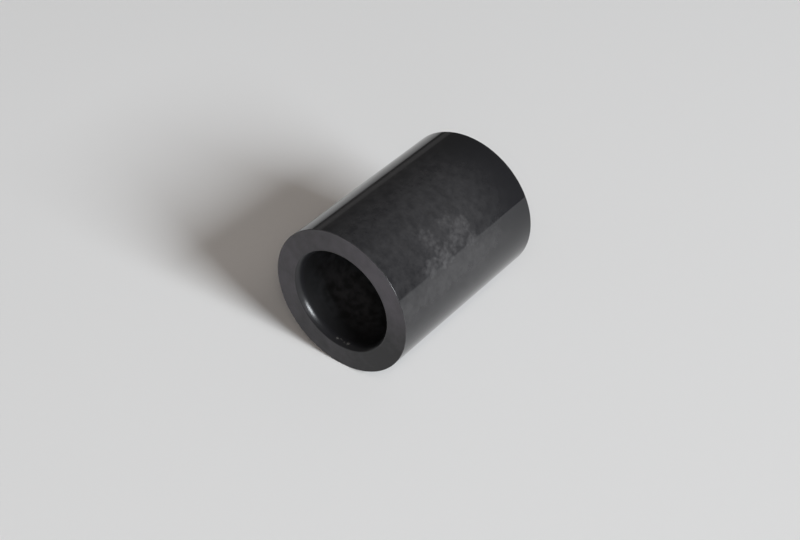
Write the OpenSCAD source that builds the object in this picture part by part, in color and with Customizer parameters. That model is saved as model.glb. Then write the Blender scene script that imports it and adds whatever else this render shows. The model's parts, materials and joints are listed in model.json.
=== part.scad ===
// Plain sleeve bushing: one black plastic tube, open from end to end.
// It is pressed into a housing by its outside, and a pin or shaft turns in its bore.
// It stands on one end face: the axis is +Z and the origin is the centre of the lower face.

/* [Sleeve] */
// Diameter of the bore that the shaft turns in
bore_d = 10; // [6:0.5:12]
// Outside diameter, which the housing holds
outer_d = 15; // [14:0.5:24]
// Length from end face to end face
sleeve_len = 20; // [6:0.5:60]

/* [Edges] */
// Width of the lead-in chamfer at each mouth of the bore, across the end face
mouth_w = 0.35; // [0.1:0.05:0.6]
// Depth of that chamfer, along the bore
mouth_depth = 0.4; // [0.1:0.05:1]
// Radius of the round on each outer rim
rim_r = 0.05; // [0.05:0.05:0.35]

/* [Hidden] */

// Black acetal, as it looks in soft light
sleeve_colour = "#2b2b2d";

bore_r = bore_d / 2;
outer_r = outer_d / 2;
wall = outer_r - bore_r;

// How far a corner cutter reaches past the corner that it breaks
overcut = 0.1;

$fn = 128;

// What each kind of edge takes off a square corner at the origin, whose sides run along +X and +Y.
// A round takes a square patch, less the circle that touches both sides.
module round_waste(r) {
    difference() {
        translate([-overcut, -overcut]) square(r + overcut);
        translate([r, r]) circle(r);
    }
}

// A chamfer takes all that lies outside the slope from one side to the other.
module chamfer_waste(w, depth) {
    polygon([[w, -overcut], [w, 0], [0, depth], [-overcut, depth], [-overcut, -overcut]]);
}

// The two corners of one end of the wall, with that end along y = 0
module end_waste() {
    translate([bore_r, 0]) chamfer_waste(mouth_w, mouth_depth);
    translate([outer_r, 0]) mirror([1, 0]) round_waste(rim_r);
}

// Section of the wall, beside the axis: a plain rectangle with all four corners broken
module wall_section() {
    difference() {
        translate([bore_r, 0]) square([wall, sleeve_len]);
        end_waste();
        translate([0, sleeve_len]) mirror([0, 1]) end_waste();
    }
}

module bushing() {
    color(sleeve_colour) rotate_extrude() wall_section();
}

bushing();
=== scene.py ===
"""A plain sleeve bushing in black acetal, lying on its side on a sheet of white paper.

The part's own frame stands it on one end, with its axis along +Z. Here it is shown lying down, so the
sheet that it lies on stands upright in this frame: it is tangent to the outside of the bushing.
"""
import json
import math

import bmesh
import bpy
from mathutils import Matrix, Vector


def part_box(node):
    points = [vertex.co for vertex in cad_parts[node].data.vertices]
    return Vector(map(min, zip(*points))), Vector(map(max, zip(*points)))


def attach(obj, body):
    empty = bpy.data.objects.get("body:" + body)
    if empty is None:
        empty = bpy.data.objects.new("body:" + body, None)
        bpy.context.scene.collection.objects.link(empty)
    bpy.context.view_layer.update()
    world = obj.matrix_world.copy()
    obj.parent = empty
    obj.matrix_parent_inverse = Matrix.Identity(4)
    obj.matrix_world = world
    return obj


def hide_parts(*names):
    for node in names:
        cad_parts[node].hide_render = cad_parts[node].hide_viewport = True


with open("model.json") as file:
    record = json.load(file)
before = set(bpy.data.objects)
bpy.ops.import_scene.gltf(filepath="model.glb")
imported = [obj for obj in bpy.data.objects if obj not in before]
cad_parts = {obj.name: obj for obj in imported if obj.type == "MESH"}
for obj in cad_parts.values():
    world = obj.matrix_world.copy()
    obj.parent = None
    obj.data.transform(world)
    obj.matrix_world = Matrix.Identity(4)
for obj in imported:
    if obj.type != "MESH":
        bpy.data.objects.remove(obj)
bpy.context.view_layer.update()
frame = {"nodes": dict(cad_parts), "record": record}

MM = 0.001
IMAGE_W_PX = 800
IMAGE_H_PX = 540
SENSOR_W_MM = 36.0

# Sizes of the bushing, from its solid and from its record
MOUNTS = {mount["name"]: mount for mount in frame["record"]["mounts"]}
SOLID_LOW, SOLID_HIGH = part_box("bushing")
LENGTH = SOLID_HIGH.z - SOLID_LOW.z
OUTER_R = min(SOLID_HIGH.x, SOLID_HIGH.y, -SOLID_LOW.x, -SOLID_LOW.y)
BORE_R = MOUNTS["bore"]["dims"]["r_mm"] * MM
RIM_R = (LENGTH - MOUNTS["outside"]["dims"]["length_mm"] * MM) / 2

# The chamfer at each mouth: its depth along the bore, and its width across the end face. Of the solid's
# points on the upper end face, those nearest to the axis lie on the chamfer's edge.
MOUTH_DEPTH = (LENGTH - MOUNTS["bore"]["dims"]["length_mm"] * MM) / 2
FACE_TOLERANCE = 0.001 * MM
SOLID_POINTS = [vertex.co for vertex in frame["nodes"]["bushing"].data.vertices]
FACE_POINTS = [point for point in SOLID_POINTS if point.z > SOLID_HIGH.z - FACE_TOLERANCE]
MOUTH_WIDTH = min(point.xy.length for point in FACE_POINTS) - BORE_R

# How far use has rounded the chamfer's two edges: at the end face and in the bore
MOUTH_OUTER_R = 0.15 * MM
MOUTH_INNER_R = 1.1 * MM

# How fine the lathe mesh is: steps round the axis, along a wall, across an end face and a chamfer, and
# round an edge
ROUND_STEPS = 256
WALL_STEPS = 64
FACE_STEPS = 16
CHAMFER_STEPS = 4
EDGE_STEPS = 8

# Numbers of the five finishes, in the order of the mesh's materials
SIDE, RIM, END, MOUTH, BORE = range(5)

# The camera, as the photograph has it. Pitch is below the horizontal, and heading is the angle from the
# way the camera looks to the axis of the bushing, both seen over the sheet of paper.
FOCAL_PX = 1661.0
CAMERA_DEPTH_MM = 151.28
CAMERA_PITCH_DEG = 37.9
CAMERA_HEADING_DEG = 37.17
NEAR_END_PX = (340.34, 301.87)

# Directions on the sheet: up from the paper, and along the axis from the near end to the far one
PAPER_UP = Vector((1, -1, 0)).normalized()
AXIS_AWAY = Vector((0, 0, -1))
LOOK_LEVEL = Matrix.Rotation(math.radians(CAMERA_HEADING_DEG), 3, PAPER_UP) @ AXIS_AWAY
LOOK_RIGHT = LOOK_LEVEL.cross(PAPER_UP)
NEAR_END = Vector((0, 0, SOLID_HIGH.z))

# Colours as they look in plain light
PAPER_WHITE = "e2e2e2"
WINDOW_DAYLIGHT = "f6fbff"
WALL_CREAM = "fff2e7"
WALL_GREY = "f2f0f2"
CEILING_WHITE = "f4f4f2"
ROOM_GREY = "f6f4f2"
ACETAL_BLACK = "1b1b1d"
ACETAL_HAZE = "595859"
# The two greys of the end face, between which its painted shade runs, darker towards the paper
END_DARK = "0d0c0e"
END_GREY = "454147"
BORE_BLACK = "171718"
# Grey of the bore's dusty clouds, which is also painted light deep in the bore where it lies in shade
BORE_DUST_AND_LIGHT = "36373a"
# The pale of the painted glints at the mouth
GLINT_PALE = "8c8a86"

# The light: a window behind the camera on the right, and pale walls over the camera, behind it and beyond
# the bushing. Each has its name, azimuth and elevation in degrees, width and height in millimetres, power
# in watts and colour, and says whether the bushing mirrors it. Azimuth is from the way the camera looks,
# clockwise seen from above the paper, and elevation is above it. The two walls that aren't mirrored stand
# for light that comes from all over the room, and would show as hard panes.
LAMP_DISTANCE_MM = 1600.0
LAMPS = (
    ("window", 136.5, 26.6, (600.0, 570.0), 36.0, WINDOW_DAYLIGHT, True),
    ("pale_wall", 138.0, 55.0, (450.0, 622.0), 2.0, WALL_CREAM, False),
    ("back_wall", 180.0, 42.0, (500.0, 450.0), 5.5, WALL_CREAM, False),
    ("low_wall", 176.0, 12.0, (620.0, 680.0), 2.0, WALL_GREY, True),
    ("far_wall", 350.0, 9.0, (2180.0, 224.0), 0.17, WALL_GREY, True),
)

# The sheet of paper: half its side, its gap from the bushing, and its place under the near end
PAPER_HALF_MM = 4000.0
PAPER_GAP_MM = 0.004
PAPER_PLACE = NEAR_END - PAPER_UP * (OUTER_R + PAPER_GAP_MM * MM)

# The room: how bright it is, and its ceiling, with its height over the paper, how far it lies along the axis
# from the near end, half its side, and its brightness when it is looked at and to what it lights
ROOM_GLOW = 0.09
CEILING_HEIGHT_MM = 1100.0
CEILING_AHEAD_MM = 335.0
CEILING_HALF_MM = 400.0
CEILING_PALE = 0.8
CEILING_DIM = 0.1
CEILING_PLACE = PAPER_PLACE + PAPER_UP * CEILING_HEIGHT_MM * MM + AXIS_AWAY * CEILING_AHEAD_MM * MM

# Acetal's refractive index, and how rough the faced end, the burnished mouth and the reamed bore are
ACETAL_IOR = 1.48
END_ROUGHNESS = 0.35
MOUTH_ROUGHNESS = 0.3
BORE_ROUGHNESS = 0.4

# The polish of the side: the haze at which it is whole and at its dullest, and how rough it is there
SIDE_HAZE = (0.0, 0.6)
SIDE_ROUGHNESS = (0.045, 0.24)

# Wear of the outer rim: the size of its worn places, the noise at which they are whole and worn, and how
# grey and how rough they are there
RIM_WEAR_MM = 0.6
RIM_NOISE = (0.35, 0.65)
RIM_HAZE = (0.1, 0.5)
RIM_ROUGHNESS = (0.16, 0.22)

# The film of haze that handling leaves on the side: how much of the polish it takes where it is thin and
# where it is thick, the size of its clouds, the noise at which they are thin and thick, and the heights
# between which it fades to the clean lower end
FILM_HAZE = (0.03, 0.17)
FILM_CLOUD_MM = 0.9
FILM_NOISE = (0.36, 0.64)
FILM_FADE_MM = (0.3, 7.5)

# Places on the side: direction round the axis in degrees from -Y towards +X, height, half width, half height
# and strength. In the first list, the first is where the film is thicker, and the second is a strip greyed
# along the band where the paper is mirrored, as painted reflection. The others are where it has been rubbed
# dull.
FILM_AND_BAND_PATCHES = (
    (12.0, 11.0, 6.0, 15.0, 0.09),
    # Painted reflection: a strip greyed along the mirrored band of paper
    (-29.0, 12.5, 2.0, 15.0, 0.13),
)
RUBBED_PATCHES = (
    (-5.0, 11.7, 3.6, 4.8, 0.32),
    (-14.5, 14.9, 1.6, 1.8, 0.6),
    (-14.0, 12.9, 1.6, 2.4, 0.7),
    (-9.0, 10.6, 1.6, 2.6, 0.58),
    (-4.5, 9.2, 2.0, 1.8, 0.6),
    (-17.0, 8.9, 1.6, 1.6, 0.56),
    (2.0, 13.4, 2.0, 1.9, 0.5),
    (3.5, 10.4, 2.0, 2.2, 0.5),
    (11.0, 14.9, 2.4, 1.8, 0.3),
)

# The clouds in the rubbed patches: their size, the noise at which they are thin and thick, how much haze is
# left where they are thin, and how far the patches lean round the axis
RUBBED_CLOUD_MM = 0.5
RUBBED_NOISE = (0.3, 0.7)
RUBBED_LEAST = 0.38
RUBBED_TILT_DEG = -12.0

# How ragged the rubbed patches are: the size of the tears in their edges, and how far these are pulled
RAGGED_CLOUD_MM = 0.8
RAGGED_PULL_MM = 2.6

# Painted shade on the end faces, darker towards the paper and lighter upward: how grey it is level with
# the axis, how much greyer it gets for each millimetre up from the paper, the size of the clouds of random
# tone in it, the noise at which they are thin and thick, and how much they add or take
END_SHADE_LEVEL = 0.45
END_SHADE_PER_MM = 0.044
END_CLOUD_MM = 1.2
END_NOISE = (0.25, 0.75)
END_CLOUD_FILM = 0.26

# Places on the upper end face painted lighter and darker, as painted light and shade: direction round the
# axis in degrees from -Y towards +X, half size, and how much grey is added or taken
END_LIGHT_AND_SHADE_SPOTS = (
    (-7.0, 4.5, 0.3),
    (-80.0, 6.0, -0.34),
    (70.0, 5.5, -0.25),
    (150.0, 4.0, 0.12),
)

# Marks of the lathe. The real feed is about 0.1 mm a turn, too fine to show, so the marks are drawn coarser.
TURNING_PITCH_MM = 0.35
TURNING_DEPTH_MM = 0.0012
REAMING_PITCH_MM = 0.5
REAMING_DEPTH_MM = 0.003

# Chatter of the cutter on the edges of the mouth: the size and depth of its marks
CHATTER_MM = 0.3
CHATTER_DEPTH_MM = 0.006

# Pale specks painted along the inner edge of the mouth, as painted glints of light on that edge: direction
# round the axis in degrees from -Y towards +X, depth below the end face, half size and strength
GLINT_SPECKS = (
    (216.0, 0.38, 0.19, 0.4),
    (220.3, 0.49, 0.13, 0.25),
    (224.8, 0.36, 0.15, 0.22),
    (230.3, 0.38, 0.21, 0.48),
    (235.3, 0.24, 0.17, 0.22),
)

# How ragged these painted glints are, in the same way as the rubbed patches
GLINT_CLOUD_MM = 0.14
GLINT_PULL_MM = 0.5

# The bore is greyed further in, in dusty clouds that are partly real and partly painted light where it lies
# in shade: how far from a mouth this starts and is full, the size of its clouds, the noise at which they are
# thin and thick, and how much grey is left where they are thin
BORE_LIGHT_MM = (0.8, 5.0)
BORE_CLOUD_MM = 0.7
BORE_CLOUD_NOISE = (0.38, 0.6)
BORE_CLOUD_LEAST = 0.15

# How near to its middle a soft spot has its full strength, from 0 at its edge to 1 in its middle
SPOT_FULL = 0.8

# The middle of a noise texture's values
NOISE_MIDDLE = 0.5

# The scale at which Blender's wave texture repeats once in each unit of length
WAVE_TURN = math.pi / 10

# Sockets of the node that mixes colours, whose names are shared with its other kinds
MIX_FACTOR, MIX_FROM, MIX_TO, MIX_RESULT = 0, 6, 7, 2


def linear(hex_colour):
    """sRGB hex to the linear RGBA that Blender's sockets take."""
    channels = [int(hex_colour[i : i + 2], 16) / 255 for i in (0, 2, 4)]
    return (*[c / 12.92 if c <= 0.04045 else ((c + 0.055) / 1.055) ** 2.4 for c in channels], 1.0)


def add(tree, kind, inputs=None, links=None, **settings):
    """Adds one node, with its settings, its fixed inputs and the sockets that feed it."""
    node = tree.nodes.new(kind)
    for name, value in settings.items():
        setattr(node, name, value)
    for name, value in (inputs or {}).items():
        node.inputs[name].default_value = value
    for name, source in (links or {}).items():
        tree.links.new(source, node.inputs[name])
    return node


def new_material(name):
    """An empty node material and its tree."""
    material = bpy.data.materials.new(name)
    material.use_nodes = True
    material.node_tree.nodes.clear()
    return material, material.node_tree


def finish_material(tree, shader):
    """Makes a shader the surface of its material."""
    add(tree, "ShaderNodeOutputMaterial", links={"Surface": shader})


def new_object(name, data):
    """A new object in the scene, for a mesh, a camera or a lamp."""
    thing = bpy.data.objects.new(name, data)
    bpy.context.scene.collection.objects.link(thing)
    return thing


def straight(start, end, steps):
    """Points between two ends, without the ends. They lie closer towards the ends, next to round edges."""
    return [start.lerp(end, (1 - math.cos(math.pi * i / steps)) / 2) for i in range(1, steps)]


def rounded(before, corner, after, radius):
    """A corner of an outline rounded to a radius: the points of the arc from one side to the other."""
    back = (before - corner).normalized()
    on = (after - corner).normalized()
    half = back.angle(on) / 2
    centre = corner + (back + on).normalized() * radius / math.sin(half)
    start = corner + back * radius / math.tan(half) - centre
    turn = back.cross(on)
    sweep = math.copysign(math.pi - 2 * half, -turn)
    return [centre + Matrix.Rotation(sweep * i / EDGE_STEPS, 2) @ start for i in range(EDGE_STEPS + 1)]


def wall_outline():
    """The wall's section: a closed outline of (radius, height) points, and the finish that starts at each."""
    # Each corner has its place, the radius that rounds it, that round's finish, and the steps and the finish
    # of the straight that follows it
    corners = [
        (Vector((OUTER_R, 0)), RIM_R, RIM, WALL_STEPS, SIDE),
        (Vector((OUTER_R, LENGTH)), RIM_R, RIM, FACE_STEPS, END),
        (Vector((BORE_R + MOUTH_WIDTH, LENGTH)), MOUTH_OUTER_R, MOUTH, CHAMFER_STEPS, MOUTH),
        (Vector((BORE_R, LENGTH - MOUTH_DEPTH)), MOUTH_INNER_R, MOUTH, WALL_STEPS, BORE),
        (Vector((BORE_R, MOUTH_DEPTH)), MOUTH_INNER_R, MOUTH, CHAMFER_STEPS, MOUTH),
        (Vector((BORE_R + MOUTH_WIDTH, 0)), MOUTH_OUTER_R, MOUTH, FACE_STEPS, END),
    ]
    places = [corner[0] for corner in corners]
    rounds = []
    for i, corner in enumerate(corners):
        rounds.append(rounded(places[i - 1], places[i], places[(i + 1) % len(places)], corner[1]))
    points = []
    finishes = []
    for i, (_, _, round_finish, steps, straight_finish) in enumerate(corners):
        following = rounds[(i + 1) % len(rounds)]
        run = [rounds[i][-1]] + straight(rounds[i][-1], following[0], steps)
        points += rounds[i][:-1] + run
        finishes += [round_finish] * EDGE_STEPS + [straight_finish] * len(run)
    return points, finishes


def bushing_mesh():
    """The outline turned round the axis, as one closed mesh."""
    points, finishes = wall_outline()
    mesh = bpy.data.meshes.new("bushing_sleeve")
    build = bmesh.new()
    rings = []
    for step in range(ROUND_STEPS):
        angle = 2 * math.pi * step / ROUND_STEPS
        across = Vector((math.cos(angle), math.sin(angle), 0))
        rings.append([build.verts.new(across * r + Vector((0, 0, z))) for r, z in points])
    for step, ring in enumerate(rings):
        following = rings[(step + 1) % ROUND_STEPS]
        for i, finish in enumerate(finishes):
            j = (i + 1) % len(points)
            face = build.faces.new((ring[i], following[i], following[j], ring[j]))
            face.material_index = finish
            face.smooth = True
    bmesh.ops.recalc_face_normals(build, faces=build.faces)
    build.to_mesh(mesh)
    build.free()
    return mesh


def place_mm(azimuth_deg, radius, height_mm):
    """A place in millimetres, from its direction round the axis, its radius in metres and its height."""
    azimuth = math.radians(azimuth_deg)
    return (radius / MM * math.sin(azimuth), -radius / MM * math.cos(azimuth), height_mm)


def millimetres(tree):
    """The surface point in millimetres of the part's frame."""
    coords = add(tree, "ShaderNodeTexCoord")
    scaled = add(
        tree,
        "ShaderNodeVectorMath",
        {"Scale": 1 / MM},
        {0: coords.outputs["Object"]},
        operation="SCALE",
    )
    return scaled.outputs["Vector"]


def soft_spot(tree, point, place, half_sizes, strength, turn=(0, 0, 0)):
    """A spot that is strong round its middle and fades to nothing at its edge."""
    local = add(
        tree,
        "ShaderNodeMapping",
        {"Location": place, "Rotation": turn, "Scale": half_sizes},
        {"Vector": point},
        vector_type="TEXTURE",
    )
    ball = add(
        tree,
        "ShaderNodeTexGradient",
        links={"Vector": local.outputs["Vector"]},
        gradient_type="SPHERICAL",
    )
    soft = add(
        tree,
        "ShaderNodeMapRange",
        {"From Max": SPOT_FULL, "To Max": strength},
        {"Value": ball.outputs["Fac"]},
        interpolation_type="SMOOTHSTEP",
    )
    return soft.outputs["Result"]


def laid_together(tree, spots, operation):
    """Soft spots as one pattern: where they overlap, they add up or the strongest shows."""
    pattern = spots[0]
    for spot in spots[1:]:
        more = add(tree, "ShaderNodeMath", links={0: pattern, 1: spot}, operation=operation)
        pattern = more.outputs["Value"]
    return pattern


def ragged_point(tree, point, cloud_mm, pull_mm):
    """The surface point pulled about by clouds of noise, which tears the edges of what is drawn there."""
    tears = add(tree, "ShaderNodeTexNoise", {"Scale": 1 / cloud_mm, "Detail": 3.0}, {"Vector": point})
    pull = add(
        tree,
        "ShaderNodeVectorMath",
        {1: [NOISE_MIDDLE] * 3},
        {0: tears.outputs["Color"]},
        operation="SUBTRACT",
    )
    ragged = add(
        tree,
        "ShaderNodeVectorMath",
        {1: [pull_mm] * 3},
        {0: pull.outputs["Vector"], 2: point},
        operation="MULTIPLY_ADD",
    )
    return ragged.outputs["Vector"]


def side_patch(tree, point, patch, tilt_deg):
    """How strong the haze of one patch of the side is, with its height leaning round the axis by a tilt."""
    azimuth_deg, height_mm, half_width_mm, half_height_mm, strength = patch
    place = place_mm(azimuth_deg, OUTER_R, height_mm)
    half_sizes = (half_width_mm, half_width_mm, half_height_mm)
    turn = (0, math.radians(tilt_deg), math.radians(azimuth_deg))
    return soft_spot(tree, point, place, half_sizes, strength, turn)


def handled_haze_and_band_light(tree, point):
    """How much polish the film of handling takes from the side: thin clouds that fade to the lower end. It
    also greys a strip along the band where the paper is mirrored, as painted reflection.
    """
    drift = add(
        tree,
        "ShaderNodeTexNoise",
        {"Scale": 1 / FILM_CLOUD_MM, "Detail": 7.0, "Roughness": 0.68},
        {"Vector": point},
    )
    film = add(
        tree,
        "ShaderNodeMapRange",
        {
            "From Min": FILM_NOISE[0],
            "From Max": FILM_NOISE[1],
            "To Min": FILM_HAZE[0],
            "To Max": FILM_HAZE[1],
        },
        {"Value": drift.outputs["Fac"]},
    )
    # The second of these patches is painted reflection, greyed along the mirrored band of paper
    film_and_band = [side_patch(tree, point, patch, 0.0) for patch in FILM_AND_BAND_PATCHES]
    thick = add(
        tree,
        "ShaderNodeMath",
        links={0: film.outputs["Result"], 1: laid_together(tree, film_and_band, "ADD")},
        operation="ADD",
    )
    place = add(tree, "ShaderNodeSeparateXYZ", links={"Vector": point})
    fade = add(
        tree,
        "ShaderNodeMapRange",
        {"From Min": FILM_FADE_MM[0], "From Max": FILM_FADE_MM[1]},
        {"Value": place.outputs["Z"]},
        interpolation_type="SMOOTHSTEP",
    )
    haze = add(
        tree,
        "ShaderNodeMath",
        links={0: thick.outputs["Value"], 1: fade.outputs["Result"]},
        operation="MULTIPLY",
    )
    return haze.outputs["Value"]


def rubbed_haze(tree, point):
    """How dull the places are that were rubbed: ragged patches, with clouds in them."""
    cloud = add(
        tree,
        "ShaderNodeTexNoise",
        {"Scale": 1 / RUBBED_CLOUD_MM, "Detail": 4.0, "Roughness": 0.6},
        {"Vector": point},
    )
    billow = add(
        tree,
        "ShaderNodeMapRange",
        {"From Min": RUBBED_NOISE[0], "From Max": RUBBED_NOISE[1], "To Min": RUBBED_LEAST},
        {"Value": cloud.outputs["Fac"]},
    )
    ragged = ragged_point(tree, point, RAGGED_CLOUD_MM, RAGGED_PULL_MM)
    patches = [side_patch(tree, ragged, patch, RUBBED_TILT_DEG) for patch in RUBBED_PATCHES]
    haze = add(
        tree,
        "ShaderNodeMath",
        links={0: laid_together(tree, patches, "MAXIMUM"), 1: billow.outputs["Result"]},
        operation="MULTIPLY",
    )
    return haze.outputs["Value"]


def dulled_acetal(tree, haze, haze_span, roughness):
    """Black acetal that haze turns grey, and rougher from one end of a span of haze to the other."""
    colour = add(
        tree,
        "ShaderNodeMix",
        {MIX_FROM: linear(ACETAL_BLACK), MIX_TO: linear(ACETAL_HAZE)},
        {MIX_FACTOR: haze},
        data_type="RGBA",
    )
    rough = add(
        tree,
        "ShaderNodeMapRange",
        {"From Min": haze_span[0], "From Max": haze_span[1], "To Min": roughness[0], "To Max": roughness[1]},
        {"Value": haze},
    )
    shader = add(
        tree,
        "ShaderNodeBsdfPrincipled",
        {"IOR": ACETAL_IOR},
        {"Base Color": colour.outputs[MIX_RESULT], "Roughness": rough.outputs["Result"]},
    )
    return shader.outputs["BSDF"]


def acetal_side():
    """Black acetal, turned and polished: deep black with sharp reflections, dulled to grey where rubbed."""
    material, tree = new_material("acetal_polished_side")
    point = millimetres(tree)
    haze = add(
        tree,
        "ShaderNodeMath",
        links={0: handled_haze_and_band_light(tree, point), 1: rubbed_haze(tree, point)},
        operation="MAXIMUM",
    )
    finish_material(tree, dulled_acetal(tree, haze.outputs["Value"], SIDE_HAZE, SIDE_ROUGHNESS))
    return material


def acetal_rim():
    """Black acetal at the outer edge, only just broken: worn grey in places, with a soft glint."""
    material, tree = new_material("acetal_broken_edge")
    point = millimetres(tree)
    wear = add(tree, "ShaderNodeTexNoise", {"Scale": 1 / RIM_WEAR_MM, "Detail": 3.0}, {"Vector": point})
    haze = add(
        tree,
        "ShaderNodeMapRange",
        {"From Min": RIM_NOISE[0], "From Max": RIM_NOISE[1], "To Min": RIM_HAZE[0], "To Max": RIM_HAZE[1]},
        {"Value": wear.outputs["Fac"]},
    )
    finish_material(tree, dulled_acetal(tree, haze.outputs["Result"], RIM_HAZE, RIM_ROUGHNESS))
    return material


def acetal_end():
    """Black acetal faced square in a lathe: a satin grey-black ring, with painted shade towards the paper."""
    material, tree = new_material("acetal_faced_end")
    point = millimetres(tree)
    # Painted shade: the face's grey grows with height above the paper
    height = add(tree, "ShaderNodeVectorMath", {1: PAPER_UP}, {0: point}, operation="DOT_PRODUCT")
    level = add(
        tree,
        "ShaderNodeMath",
        {1: END_SHADE_PER_MM, 2: END_SHADE_LEVEL},
        {0: height.outputs["Value"]},
        operation="MULTIPLY_ADD",
    )
    mottle = add(
        tree,
        "ShaderNodeTexNoise",
        {"Scale": 1 / END_CLOUD_MM, "Detail": 7.0, "Roughness": 0.62},
        {"Vector": point},
    )
    cloudy = add(
        tree,
        "ShaderNodeMapRange",
        {
            "From Min": END_NOISE[0],
            "From Max": END_NOISE[1],
            "To Min": -END_CLOUD_FILM,
            "To Max": END_CLOUD_FILM,
        },
        {"Value": mottle.outputs["Fac"]},
    )
    film = add(
        tree,
        "ShaderNodeMath",
        links={0: level.outputs["Value"], 1: cloudy.outputs["Result"]},
        operation="ADD",
    )
    # Spots painted lighter and darker on the face, as painted light and shade
    spots = []
    for azimuth_deg, half_mm, strength in END_LIGHT_AND_SHADE_SPOTS:
        place = place_mm(azimuth_deg, (BORE_R + OUTER_R) / 2, LENGTH / MM)
        spots.append(soft_spot(tree, point, place, [half_mm] * 3, strength))
    painted_shade = add(
        tree,
        "ShaderNodeMath",
        links={0: film.outputs["Value"], 1: laid_together(tree, spots, "ADD")},
        operation="ADD",
        use_clamp=True,
    )
    colour = add(
        tree,
        "ShaderNodeMix",
        {MIX_FROM: linear(END_DARK), MIX_TO: linear(END_GREY)},
        {MIX_FACTOR: painted_shade.outputs["Value"]},
        data_type="RGBA",
    )
    # Rings round the axis, one for each turn of the lathe
    rings = add(
        tree,
        "ShaderNodeTexWave",
        {"Scale": WAVE_TURN / TURNING_PITCH_MM, "Distortion": 0.6, "Detail": 1.0, "Detail Scale": 0.4},
        {"Vector": point},
        wave_type="RINGS",
        rings_direction="Z",
    )
    grooved = add(
        tree,
        "ShaderNodeBump",
        {"Distance": TURNING_DEPTH_MM * MM},
        {"Height": rings.outputs["Fac"]},
    )
    shader = add(
        tree,
        "ShaderNodeBsdfPrincipled",
        {"IOR": ACETAL_IOR, "Roughness": END_ROUGHNESS},
        {"Base Color": colour.outputs[MIX_RESULT], "Normal": grooved.outputs["Normal"]},
    )
    finish_material(tree, shader.outputs["BSDF"])
    return material


def black_with_painted_glints(tree, point):
    """The black of the mouth, with pale specks painted on its inner edge as glints."""
    ragged = ragged_point(tree, point, GLINT_CLOUD_MM, GLINT_PULL_MM)
    glints = []
    for azimuth_deg, depth_mm, half_mm, strength in GLINT_SPECKS:
        place = place_mm(azimuth_deg, BORE_R, LENGTH / MM - depth_mm)
        glints.append(soft_spot(tree, ragged, place, [half_mm] * 3, strength))
    # Painted glints: pale specks mixed into the black
    colour = add(
        tree,
        "ShaderNodeMix",
        {MIX_FROM: linear(ACETAL_BLACK), MIX_TO: linear(GLINT_PALE)},
        {MIX_FACTOR: laid_together(tree, glints, "MAXIMUM")},
        data_type="RGBA",
    )
    return colour.outputs[MIX_RESULT]


def acetal_mouth():
    """Black acetal at the mouth, burnished by what passes through: dark, with a glint of the window."""
    material, tree = new_material("acetal_burnished_mouth")
    point = millimetres(tree)
    chatter = add(tree, "ShaderNodeTexNoise", {"Scale": 1 / CHATTER_MM, "Detail": 2.0}, {"Vector": point})
    uneven = add(
        tree,
        "ShaderNodeBump",
        {"Distance": CHATTER_DEPTH_MM * MM},
        {"Height": chatter.outputs["Fac"]},
    )
    shader = add(
        tree,
        "ShaderNodeBsdfPrincipled",
        {"IOR": ACETAL_IOR, "Roughness": MOUTH_ROUGHNESS},
        {"Base Color": black_with_painted_glints(tree, point), "Normal": uneven.outputs["Normal"]},
    )
    finish_material(tree, shader.outputs["BSDF"])
    return material


def acetal_bore():
    """Black acetal in the bore, reamed: near black, with a soft shine at the mouths. Further in it is greyed
    in dusty clouds, partly real and partly painted light where the bore lies in shade.
    """
    material, tree = new_material("acetal_reamed_bore")
    point = millimetres(tree)
    middle_mm = LENGTH / MM / 2
    place = add(tree, "ShaderNodeSeparateXYZ", links={"Vector": point})
    above = add(tree, "ShaderNodeMath", {1: middle_mm}, {0: place.outputs["Z"]}, operation="SUBTRACT")
    from_middle = add(tree, "ShaderNodeMath", links={0: above.outputs["Value"]}, operation="ABSOLUTE")
    # Painted light: the bore is greyed more further from the mouths, where it lies in shade
    deep_light = add(
        tree,
        "ShaderNodeMapRange",
        {"From Min": middle_mm - BORE_LIGHT_MM[0], "From Max": middle_mm - BORE_LIGHT_MM[1]},
        {"Value": from_middle.outputs["Value"]},
        interpolation_type="SMOOTHSTEP",
    )
    cloud = add(tree, "ShaderNodeTexNoise", {"Scale": 1 / BORE_CLOUD_MM, "Detail": 3.0}, {"Vector": point})
    patchy = add(
        tree,
        "ShaderNodeMapRange",
        {"From Min": BORE_CLOUD_NOISE[0], "From Max": BORE_CLOUD_NOISE[1], "To Min": BORE_CLOUD_LEAST},
        {"Value": cloud.outputs["Fac"]},
    )
    dust_and_light = add(
        tree,
        "ShaderNodeMath",
        links={0: deep_light.outputs["Result"], 1: patchy.outputs["Result"]},
        operation="MULTIPLY",
    )
    colour = add(
        tree,
        "ShaderNodeMix",
        {MIX_FROM: linear(BORE_BLACK), MIX_TO: linear(BORE_DUST_AND_LIGHT)},
        {MIX_FACTOR: dust_and_light.outputs["Value"]},
        data_type="RGBA",
    )
    # Marks round the bore, one for each turn of the reamer
    rings = add(
        tree,
        "ShaderNodeTexWave",
        {"Scale": WAVE_TURN / REAMING_PITCH_MM, "Distortion": 1.0, "Detail": 2.0, "Detail Scale": 0.6},
        {"Vector": point},
        bands_direction="Z",
    )
    grooved = add(
        tree,
        "ShaderNodeBump",
        {"Distance": REAMING_DEPTH_MM * MM},
        {"Height": rings.outputs["Fac"]},
    )
    shader = add(
        tree,
        "ShaderNodeBsdfPrincipled",
        {"IOR": ACETAL_IOR, "Roughness": BORE_ROUGHNESS},
        {"Base Color": colour.outputs[MIX_RESULT], "Normal": grooved.outputs["Normal"]},
    )
    finish_material(tree, shader.outputs["BSDF"])
    return material


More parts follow.
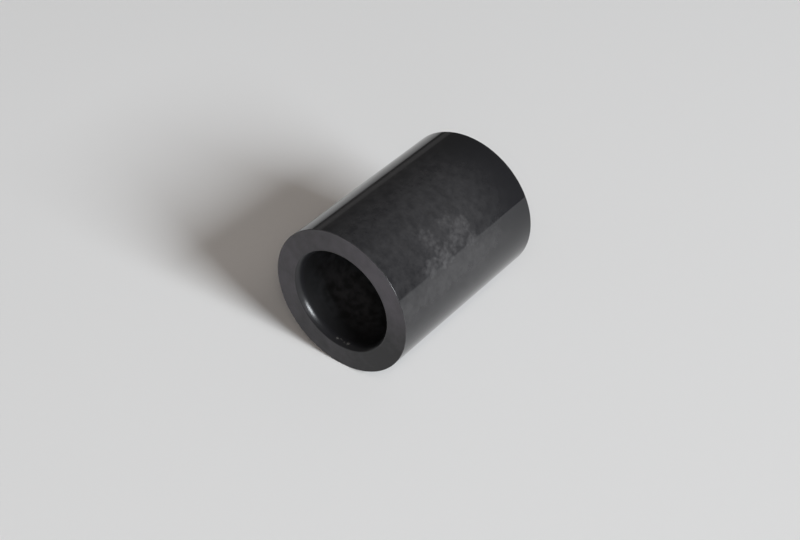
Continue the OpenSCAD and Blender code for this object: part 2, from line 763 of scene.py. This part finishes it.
def paper():
    """Matt white paper. Seen from behind it isn't there, so that the underside of the bushing can be seen."""
    material, tree = new_material("paper_white")
    sheet = add(tree, "ShaderNodeBsdfDiffuse", {"Color": linear(PAPER_WHITE)})
    clear = add(tree, "ShaderNodeBsdfTransparent")
    facing = add(tree, "ShaderNodeNewGeometry")
    shown = add(
        tree,
        "ShaderNodeMixShader",
        links={0: facing.outputs["Backfacing"], 1: sheet.outputs["BSDF"], 2: clear.outputs["BSDF"]},
    )
    finish_material(tree, shown.outputs["Shader"])
    return material


def ceiling_white():
    """A pale ceiling, the backdrop when the underside is looked at. It is dim to what it lights."""
    material, tree = new_material("ceiling_white")
    path = add(tree, "ShaderNodeLightPath")
    coords = add(tree, "ShaderNodeTexCoord")
    middle = soft_spot(tree, coords.outputs["Object"], CEILING_PLACE, [CEILING_HALF_MM * MM] * 3, 1.0)
    mirrored = add(
        tree,
        "ShaderNodeMath",
        links={0: path.outputs["Is Glossy Ray"], 1: middle},
        operation="MULTIPLY",
    )
    looked_at = add(
        tree,
        "ShaderNodeMath",
        links={0: path.outputs["Is Camera Ray"], 1: mirrored.outputs["Value"]},
        operation="MAXIMUM",
    )
    strength = add(
        tree,
        "ShaderNodeMapRange",
        {"To Min": CEILING_DIM, "To Max": CEILING_PALE},
        {"Value": looked_at.outputs["Value"]},
    )
    glow = add(
        tree,
        "ShaderNodeEmission",
        {"Color": linear(CEILING_WHITE)},
        {"Strength": strength.outputs["Result"]},
    )
    finish_material(tree, glow.outputs["Emission"])
    return material


def panel(name, centre, normal, half, material):
    """A square stage panel that faces along its normal, with two of its sides along the bushing's axis."""
    along = AXIS_AWAY * half
    across = normal.cross(AXIS_AWAY) * half
    mesh = bpy.data.meshes.new(name)
    corners = [centre + along * i + across * j for i, j in ((-1, -1), (1, -1), (1, 1), (-1, 1))]
    mesh.from_pydata(corners, [], [(0, 1, 2, 3)])
    mesh.materials.append(material)
    new_object(name, mesh)


def turned(x_axis, y_axis, z_axis, place):
    """The matrix of a thing at a place, with these axes."""
    matrix = Matrix((x_axis, y_axis, z_axis)).transposed().to_4x4()
    matrix.translation = place
    return matrix


def make_camera():
    """The camera, placed so that the middle of the near end falls on its pixel."""
    data = bpy.data.cameras.new("camera")
    data.sensor_width = SENSOR_W_MM
    data.lens = FOCAL_PX * SENSOR_W_MM / IMAGE_W_PX
    pitch = math.radians(CAMERA_PITCH_DEG)
    look = LOOK_LEVEL * math.cos(pitch) - PAPER_UP * math.sin(pitch)
    upward = LOOK_LEVEL * math.sin(pitch) + PAPER_UP * math.cos(pitch)
    depth = CAMERA_DEPTH_MM * MM
    shift_right = (NEAR_END_PX[0] - IMAGE_W_PX / 2) / FOCAL_PX * depth
    shift_down = (NEAR_END_PX[1] - IMAGE_H_PX / 2) / FOCAL_PX * depth
    place = NEAR_END - look * depth - LOOK_RIGHT * shift_right + upward * shift_down
    camera = new_object("camera", data)
    camera.matrix_world = turned(LOOK_RIGHT, upward, -look, place)
    bpy.context.scene.camera = camera


def make_lamp(name, azimuth_deg, elevation_deg, size_mm, power_w, colour, mirrored):
    """A soft rectangular lamp that faces the bushing from far off."""
    data = bpy.data.lights.new(name, "AREA")
    data.shape = "RECTANGLE"
    data.size = size_mm[0] * MM
    data.size_y = size_mm[1] * MM
    data.energy = power_w
    data.color = linear(colour)[:3]
    azimuth = math.radians(azimuth_deg)
    elevation = math.radians(elevation_deg)
    level = LOOK_RIGHT * math.sin(azimuth) + LOOK_LEVEL * math.cos(azimuth)
    out = level * math.cos(elevation) + PAPER_UP * math.sin(elevation)
    sideways = PAPER_UP.cross(level)
    lamp = new_object(name, data)
    lamp.matrix_world = turned(sideways, out.cross(sideways), out, NEAR_END + out * LAMP_DISTANCE_MM * MM)
    lamp.visible_glossy = mirrored


def make_room():
    """The dim room beyond the lamps, the same all round."""
    world = bpy.data.worlds.new("room")
    world.use_nodes = True
    tree = world.node_tree
    tree.nodes.clear()
    glow = add(tree, "ShaderNodeBackground", {"Color": linear(ROOM_GREY), "Strength": ROOM_GLOW})
    add(tree, "ShaderNodeOutputWorld", links={"Surface": glow.outputs["Background"]})
    bpy.context.scene.world = world


def make_bushing():
    """The bushing's one piece, which stands for its solid."""
    mesh = bushing_mesh()
    for material in (acetal_side(), acetal_rim(), acetal_end(), acetal_mouth(), acetal_bore()):
        mesh.materials.append(material)
    bushing = new_object("bushing_sleeve", mesh)
    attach(bushing, "root")
    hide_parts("bushing")


make_camera()
make_bushing()
panel("paper_sheet", PAPER_PLACE, PAPER_UP, PAPER_HALF_MM * MM, paper())
panel("ceiling", CEILING_PLACE, -PAPER_UP, CEILING_HALF_MM * MM, ceiling_white())
for lamp_facts in LAMPS:
    make_lamp(*lamp_facts)
make_room()
bpy.context.scene.view_settings.view_transform = "Standard"
